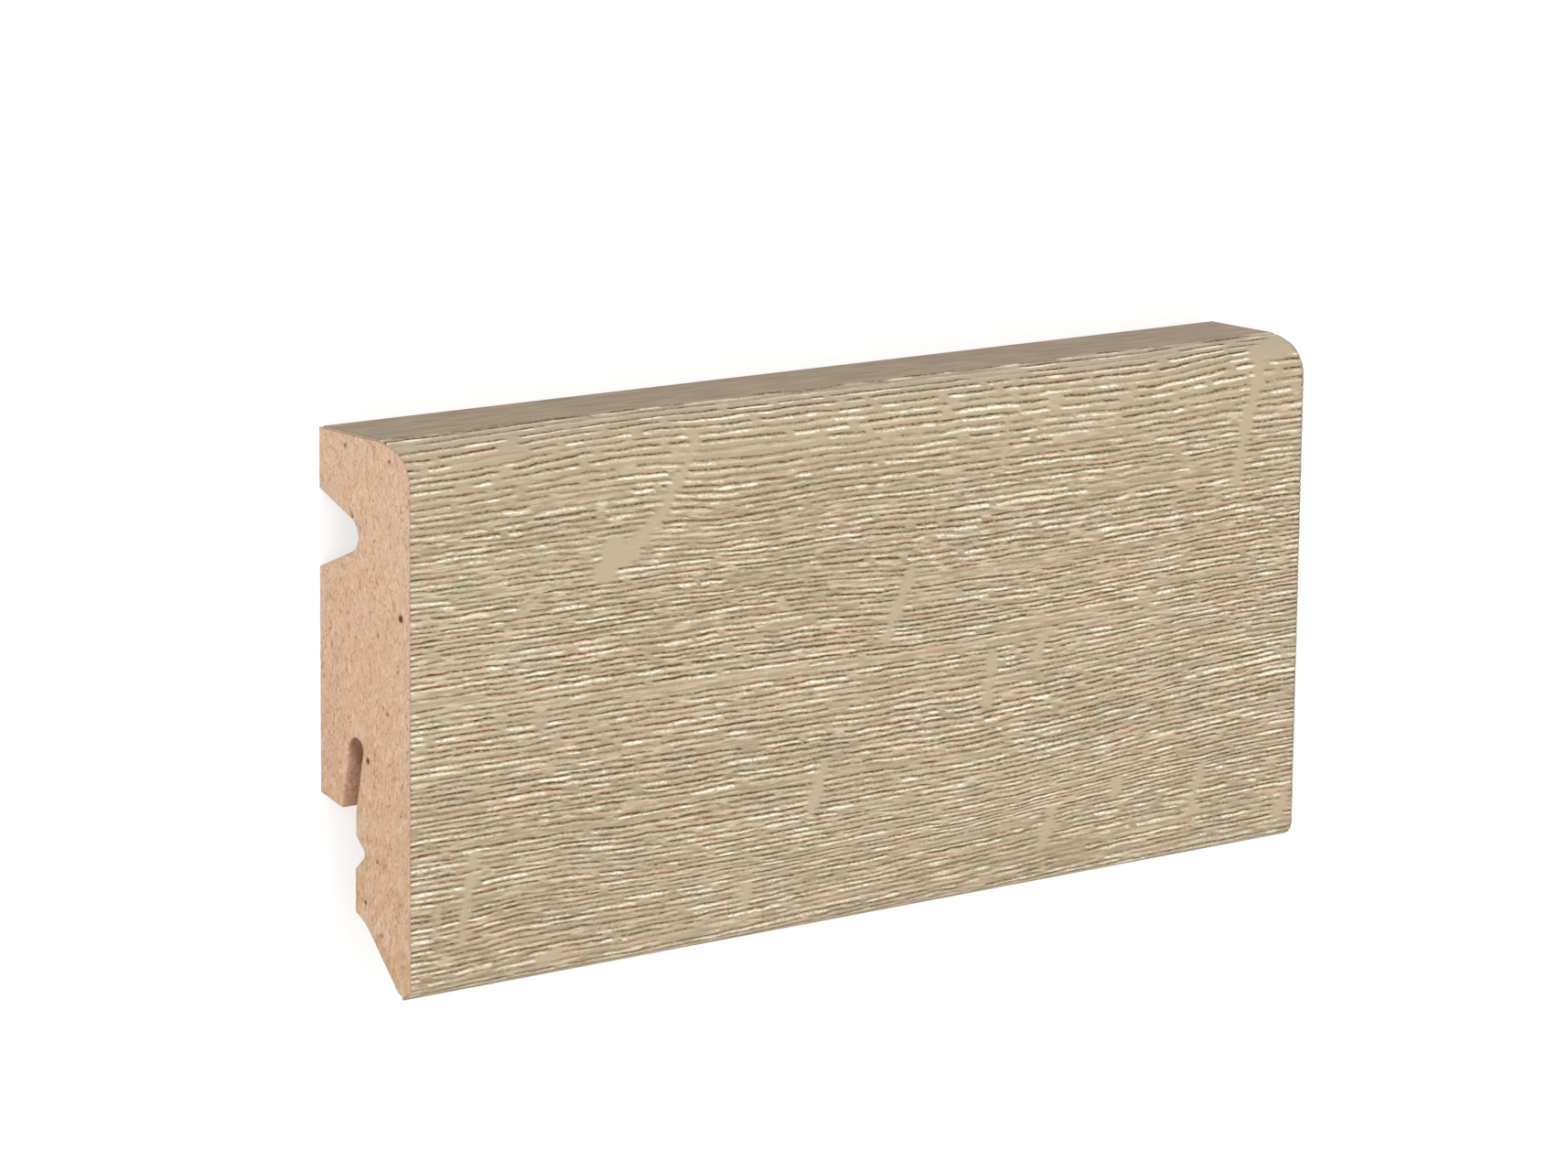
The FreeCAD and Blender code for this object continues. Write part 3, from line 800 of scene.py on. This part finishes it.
def fibreboard_material():
    nodes = Nodes("mdf")
    cloud = nodes.noise(480, detail=4)
    mottle = nodes.noise(620, (1.0, 1.5, 1.0), detail=5, bend=0.4, offset=(7, 3, 5))
    grit = nodes.noise(4200, (1.5, 2, 1), detail=3)
    fibre = nodes.noise(4400, (2.2, 2.8, 1), detail=3, bend=1.2)
    chip = nodes.noise(2100, (1.8, 2.0, 1), detail=4, bend=1.6, offset=(5, 2, 1))
    straw = nodes.noise(3000, (2.0, 3.0, 1), detail=3, bend=1.0, offset=(2, 9, 4))

    # The board is yellower at its floor edge and pinker at its top edge
    rise = nodes.spread(nodes.place("Y"), -0.026, 0.02)
    base = nodes.mix(rise, linear(207, 170, 132), linear(222, 187, 161))
    base = nodes.layer(base, cloud, 0.42, 0.62, 0.5, linear(222, 190, 158))
    base = nodes.layer(base, mottle, 0.5, 0.62, 0.5, linear(230, 198, 178))
    base = nodes.layer(base, grit, 0.4, 0.7, 0.35, linear(200, 162, 128))
    base = nodes.layer(base, fibre, 0.53, 0.62, 0.48, linear(182, 142, 104))
    base = nodes.layer(base, chip, 0.56, 0.64, 0.65, linear(162, 122, 78))
    base = nodes.layer(base, straw, 0.54, 0.66, 0.55, linear(240, 212, 184))
    # The clip slot's walls: the cutter's marks and painted shade towards the slot's inner end
    base = nodes.mix(nodes.attribute("milled_and_shade"), base, linear(152, 114, 84))
    base = nodes.mix(nodes.times(nodes.attribute("speck"), 0.95), base, linear(70, 46, 34))
    return nodes.surface(base, fibre, 0.25, 0.00008, roughness=0.85, specular=0.2)


def grey(value):
    return (value, value, value, 1)


def dress(piece, material):
    piece.data.materials.clear()
    piece.data.materials.append(material)


# The set: floor, light and camera

# Half of the floor's side, and how far below the board it lies
FLOOR_REACH = 6.0
FLOOR_DROP = 0.00005

# How pale the matt floor is, to the light and to the camera, and how much it glows to the camera
FLOOR_GREY = 0.82
SEEN_GREY = 0.42
SEEN_GLOW = 0.67

# The even light from all round, and the key light's place, side and power
WORLD_STRENGTH = 0.74
KEY_PLACE = (-0.9, 0.3, 1.6)
KEY_SIZE = 1.6
KEY_POWER = 16

# The photograph's viewpoint: turned about the board's height, tipped and rolled, in degrees, then
# the board's lower left back corner as the camera sees it, in millimetres, and the lens
VIEW_TURN = 38.778
VIEW_TIP = 11.198
VIEW_ROLL = -0.5865
CORNER_IN_VIEW = (-50.092, -41.707, -652.67)
LENS = 138.4
SENSOR = 36.0


def floor_material():
    """A matt floor that lights the board as a pale one does. To the camera and in reflections it
    glows white, and keeps the board's shadow."""
    nodes = Nodes("pale_floor")
    matt = nodes.add("BsdfDiffuse", Color=grey(FLOOR_GREY))
    seen_matt = nodes.add("BsdfDiffuse", Color=grey(SEEN_GREY))
    glow = nodes.add("Emission", Color=grey(1), Strength=SEEN_GLOW)
    seen = nodes.add("AddShader")
    nodes.set(seen.inputs[0], seen_matt.outputs[0])
    nodes.set(seen.inputs[1], glow.outputs[0])
    path = nodes.add("LightPath")
    direct = nodes.math("ADD", path.outputs["Is Camera Ray"], path.outputs["Is Glossy Ray"])
    direct = nodes.math("ADD", direct, path.outputs["Is Transmission Ray"])
    mixed = nodes.add("MixShader", Fac=nodes.math("MINIMUM", direct, 1.0))
    nodes.set(mixed.inputs[1], matt.outputs[0])
    nodes.set(mixed.inputs[2], seen.outputs[0])
    nodes.set(nodes.output.inputs[0], mixed.outputs[0])
    return nodes.material


def add_floor():
    corners = ((-1, -1), (1, -1), (1, 1), (-1, 1))
    points = [(FLOOR_REACH * x, FLOOR_REACH * y, -FLOOR_DROP) for x, y in corners]
    mesh = bpy.data.meshes.new("floor")
    mesh.from_pydata(points, [], [(0, 1, 2, 3)])
    floor = bpy.data.objects.new("floor", mesh)
    bpy.context.scene.collection.objects.link(floor)
    dress(floor, floor_material())


def add_lights():
    """Even light from all round, and a square soft key light that faces the board's middle."""
    world = bpy.data.worlds.new("studio")
    world.use_nodes = True
    background = world.node_tree.nodes["Background"]
    background.inputs["Strength"].default_value = WORLD_STRENGTH
    background.inputs["Color"].default_value = grey(1)
    bpy.context.scene.world = world
    key = bpy.data.lights.new("key", "AREA")
    key.size, key.energy = KEY_SIZE, KEY_POWER
    light = bpy.data.objects.new("key", key)
    light.location = KEY_PLACE
    light.rotation_mode = "QUATERNION"
    light.rotation_quaternion = Vector(KEY_PLACE).to_track_quat("Z", "Y")
    bpy.context.scene.collection.objects.link(light)


def turned(axis, degrees):
    return Matrix.Rotation(math.radians(degrees), 3, axis)


def add_camera():
    data = bpy.data.cameras.new("camera")
    data.sensor_width, data.lens = SENSOR, LENS
    data.clip_start, data.clip_end = 0.01, 20
    into_view = turned("Z", VIEW_ROLL) @ turned("X", VIEW_TIP) @ turned("Y", VIEW_TURN)
    # The camera's place as seen from the board's lower left back corner, then in the row frame
    place = -(into_view.transposed() @ Vector(CORNER_IN_VIEW))
    place = (place + LOW) * MM
    camera = bpy.data.objects.new("camera", data)
    camera.matrix_world = Matrix.Translation(place) @ into_view.transposed().to_4x4()
    bpy.context.scene.collection.objects.link(camera)
    bpy.context.scene.camera = camera


bpy.context.scene.view_settings.view_transform = "Standard"
add_floor()
add_lights()
add_camera()

decor = build_foil()
dress(decor, foil_material())
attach(decor, "root")
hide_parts("decor_foil")

core = build_core(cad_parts["mdf_core"])
dress(core, fibreboard_material())
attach(core, "root")
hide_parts("mdf_core")
